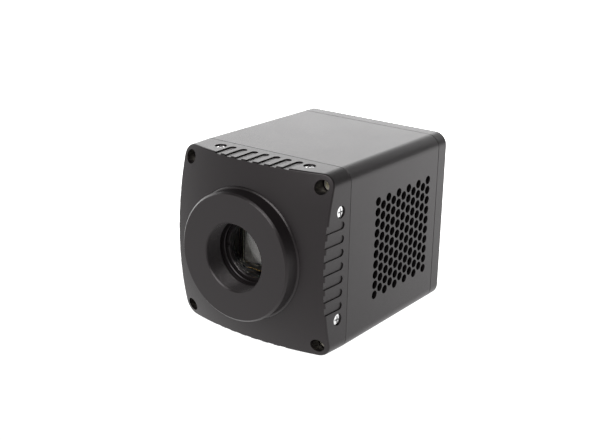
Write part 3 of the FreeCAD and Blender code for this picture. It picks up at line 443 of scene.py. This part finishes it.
# ---------------------------------------------------------------- sealed chamber and sensor board
# A black anodised block screwed into the front plate holds the sensor, dry and dark. The green
# circuit board behind it closes the chamber, and a copper-coloured finger passes through the board.
chamber_black = turned(finish("chamber_black", (0.012, 0.0105, 0.007), (0.018, 0.0155, 0.010), (0.35, 0.5),
                              3000, 0.3))
dress(chamber_black, "chamber_body")
board_green = finish("board_lacquer", (0.006, 0.05, 0.02), (0.012, 0.085, 0.035), (0.18, 0.3), 1600, 0.3)


def lay_tracks(skin):
    """Copper tracks under the lacquer lift its colour and its height in straight runs."""
    tree = skin.node_tree
    link = tree.links.new
    place = tree.nodes.new("ShaderNodeTexCoord")
    flat = tree.nodes.new("ShaderNodeMapping")
    flat.inputs["Rotation"].default_value = (math.radians(90), 0, 0)
    tracks = tree.nodes.new("ShaderNodeTexBrick")
    tracks.inputs["Scale"].default_value = 260
    tracks.inputs["Mortar Size"].default_value = 0.09
    tracks.inputs["Color1"].default_value = (0.006, 0.05, 0.02, 1)
    tracks.inputs["Color2"].default_value = (0.009, 0.065, 0.027, 1)
    tracks.inputs["Mortar"].default_value = (0.03, 0.15, 0.06, 1)
    link(place.outputs["Object"], flat.inputs["Vector"])
    link(flat.outputs["Vector"], tracks.inputs["Vector"])
    link(tracks.outputs["Color"], tree.nodes["Principled BSDF"].inputs["Base Color"])
    link(tracks.outputs["Fac"], tree.nodes["relief"].inputs["Height"])


lay_tracks(board_green)
dress(board_green, "sensor_board", "main_board")
moulded_black = finish("moulded_black", (0.011, 0.011, 0.011), (0.02, 0.02, 0.02), (0.42, 0.58), 3200, 0.5)
dress(moulded_black, "sensor_socket", "main_board_chips")
copper = finish("copper", (0.62, 0.27, 0.14), (0.78, 0.38, 0.22), (0.28, 0.45), 1200, 0.3, metallic=1.0,
                stretch=(1, 12, 1))
dress(copper, "cold_finger")
white_ceramic = finish("white_ceramic", (0.74, 0.74, 0.72), (0.86, 0.86, 0.84), (0.35, 0.5), 2600, 0.3)
dress(white_ceramic, "thermoelectric_cooler")
white_plastic = finish("white_plastic", (0.62, 0.61, 0.57), (0.74, 0.73, 0.69), (0.4, 0.55), 2400, 0.4)
dress(white_plastic, "chamber_spacer", "ribbon_sockets", "lead_plugs")


# ---------------------------------------------------------------- heat sink
# One aluminium block with sawn fins, anodised black. The saw leaves fine marks along the fins.
sink_black = finish("sink_black", (0.007, 0.007, 0.007), (0.013, 0.013, 0.013), (0.38, 0.55), 2600, 0.6,
                    stretch=(1, 0.08, 1))
dress(sink_black, "heat_sink")


# ---------------------------------------------------------------- fan
# A moulded black fan: a square frame with four struts, a hub with seven blades, and inside the hub a
# ring magnet around four copper windings on a brass bearing.
fan_black = finish("fan_black", (0.012, 0.012, 0.013), (0.02, 0.02, 0.021), (0.3, 0.45), 1400, 0.3)
dress(fan_black, "fan_frame", "fan_rotor")
magnet_grey = finish("magnet_grey", (0.06, 0.055, 0.05), (0.1, 0.095, 0.09), (0.5, 0.65), 3800, 0.6)
dress(magnet_grey, "fan_magnet")
winding = finish("winding", (0.3, 0.08, 0.03), (0.6, 0.22, 0.1), (0.22, 0.35), 2600, 0.9, metallic=0.8,
                 stretch=(6, 1, 1))
dress(winding, "fan_stator")
brass = finish("brass", (0.62, 0.44, 0.17), (0.76, 0.58, 0.28), (0.25, 0.4), 1800, 0.3, metallic=1.0)
dress(brass, "fan_bearing", "board_standoffs")


# ---------------------------------------------------------------- screws
# Hardened steel cap screws, zinc plated with a faint yellow cast, hold the plate, the housing and the
# cover together. Domed cross-head screws of bright steel fix the chamber from the four sides. The fan's
# screws and shaft and the boards' screws are of the same steel.
plated_steel = finish("plated_steel", (0.66, 0.63, 0.5), (0.9, 0.88, 0.76), (0.22, 0.42), 2100, 0.5,
                      metallic=0.85)
dress(plated_steel, "front_screws", "rear_screws", "chamber_screws", "mount_ring_screws")
bright_steel = finish("bright_steel", (0.62, 0.62, 0.62), (0.86, 0.86, 0.86), (0.18, 0.36), 2600, 0.5,
                      metallic=1.0)
dress(bright_steel, "side_screws", "fan_screws", "board_screws", "fan_shaft")


# ---------------------------------------------------------------- leads inside
# A flat white ribbon joins the two boards. Round leads, red, feed the cooler and the fan.
ribbon_white = finish("ribbon_white", (0.5, 0.5, 0.48), (0.74, 0.74, 0.72), (0.35, 0.5), 900, 0.6,
                      stretch=(1, 0.02, 0.02))
dress(ribbon_white, "ribbon_cable")
red_lead = finish("red_lead", (0.36, 0.012, 0.01), (0.5, 0.03, 0.022), (0.3, 0.42), 1500, 0.3)
dress(red_lead, "cooler_lead", "fan_lead")


# ---------------------------------------------------------------- sockets in the rear cover
# From the main board three sockets reach through the sunk panel: a nickel-plated data socket with a
# blue tongue, a barrel jack for power and a round four-pin socket for a trigger. A green lamp sits by them.
nickel = finish("nickel_plate", (0.5, 0.49, 0.46), (0.7, 0.69, 0.66), (0.2, 0.34), 1700, 0.3, metallic=1.0)
dress(nickel, "usb_socket", "trigger_socket", "dc_pin")
dress(moulded_black, "dc_jack")
blue_plastic = finish("blue_plastic", (0.012, 0.06, 0.34), (0.02, 0.09, 0.46), (0.32, 0.45), 2000, 0.3)
dress(blue_plastic, "usb_tongue")
dress(gold, "trigger_pins")
lamp_green = finish("lamp_green", (0.02, 0.34, 0.08), (0.04, 0.46, 0.12), (0.08, 0.16), 1200, 0.1)
lamp_green.node_tree.nodes["Principled BSDF"].inputs["Transmission Weight"].default_value = 0.35
dress(lamp_green, "status_led")

tongue_low, tongue_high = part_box("usb_tongue")
middle = (tongue_low[0] + tongue_high[0]) / 2 / MM
lower_face = tongue_low[2] / MM
contact_pitch, contact_inset, contact_drop = 1.3, 1.4, 0.03
contacts = flat_blocks([(middle + (k - 1.5) * contact_pitch, tongue_high[1] / MM - contact_inset,
                         lower_face - contact_drop) for k in range(4)], (0.7, 2.4, 0.08))
add_piece("usb_contacts", contacts, gold, "camera")


# ---------------------------------------------------------------- power switch
# A black rocker in a moulded frame, resting on its off side. A bar and a ring, the usual on and off
# signs, are printed in white on its two faces.
dress(moulded_black, "switch_frame")
rocker_black = finish("rocker_black", (0.008, 0.008, 0.008), (0.014, 0.014, 0.014), (0.2, 0.32), 1500, 0.2)
dress(rocker_black, "power_rocker")
print_white = finish("print_white", (0.7, 0.7, 0.68), (0.8, 0.8, 0.78), (0.45, 0.6), 3000, 0.3)
tilt = next(j for j in frame["record"]["behaviour"]["joints"] if j["name"] == "rocker_tilt")
pivot = Vector(tilt["pos_m"])
face_slope = math.radians(10)
sign_reach = 2.9
waist_height = 1.7
ink, hollow_r, sign_r = 0.06, 0.75, 1.05
rest_turn = Matrix.Rotation(face_slope, 3, "Z")
ring_sign = bmesh.new()
lathe(ring_sign, [(hollow_r, 0), (sign_r, 0), (sign_r, ink), (hollow_r, ink), (hollow_r, 0)], steps=40)
bar_sign = flat_blocks([(0, ink / 2, 0)], (0.35, ink, 2 * sign_r))
for name, sign, side in (("off_sign", ring_sign, -1), ("on_sign", bar_sign, 1)):
    bmesh.ops.recalc_face_normals(sign, faces=sign.faces)
    lean = Matrix.Rotation(side * face_slope, 3, "Z")
    bmesh.ops.rotate(sign, verts=sign.verts, cent=(0, 0, 0), matrix=lean)
    height = waist_height + sign_reach * math.tan(face_slope)
    bmesh.ops.translate(sign, verts=sign.verts, vec=Vector((side * sign_reach, height, 0)) * MM)
    bmesh.ops.rotate(sign, verts=sign.verts, cent=(0, 0, 0), matrix=rest_turn)
    bmesh.ops.translate(sign, verts=sign.verts, vec=pivot)
    add_piece(name, sign, print_white, "rocker")


# ---------------------------------------------------------------- tripod bush
# A bright turned bush with a quarter-inch thread, pressed into the floor of the housing.
bush = bmesh.new()
bush_r, bush_length, bush_minor, bush_steps = 5.0, 7.0, 2.55, 64
wind_thread(bush, minor=bush_minor, major=3.15, pitch=1.27, start=0.5, end=6.2, steps=bush_steps)
lathe(bush, [(3.3, 0), (4.75, 0), (bush_r, 0.25), (bush_r, bush_length), (0, bush_length)], steps=bush_steps)
lathe(bush, [(bush_minor, 6.3), (0, 6.8)], steps=bush_steps)
close_between(bush, -0.1, 0.6)
close_between(bush, 6.1, 6.4)
bmesh.ops.recalc_face_normals(bush, faces=bush.faces)
upright = Matrix.Rotation(math.radians(90), 3, "X")
bmesh.ops.rotate(bush, verts=bush.verts, cent=(0, 0, 0), matrix=upright)
bush_low, bush_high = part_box("tripod_bush")
bush_foot = ((bush_low[0] + bush_high[0]) / 2, (bush_low[1] + bush_high[1]) / 2, bush_low[2])
bmesh.ops.translate(bush, verts=bush.verts, vec=bush_foot)
add_piece("threaded_tripod_bush", bush, bright_steel, "camera", ["tripod_bush"])
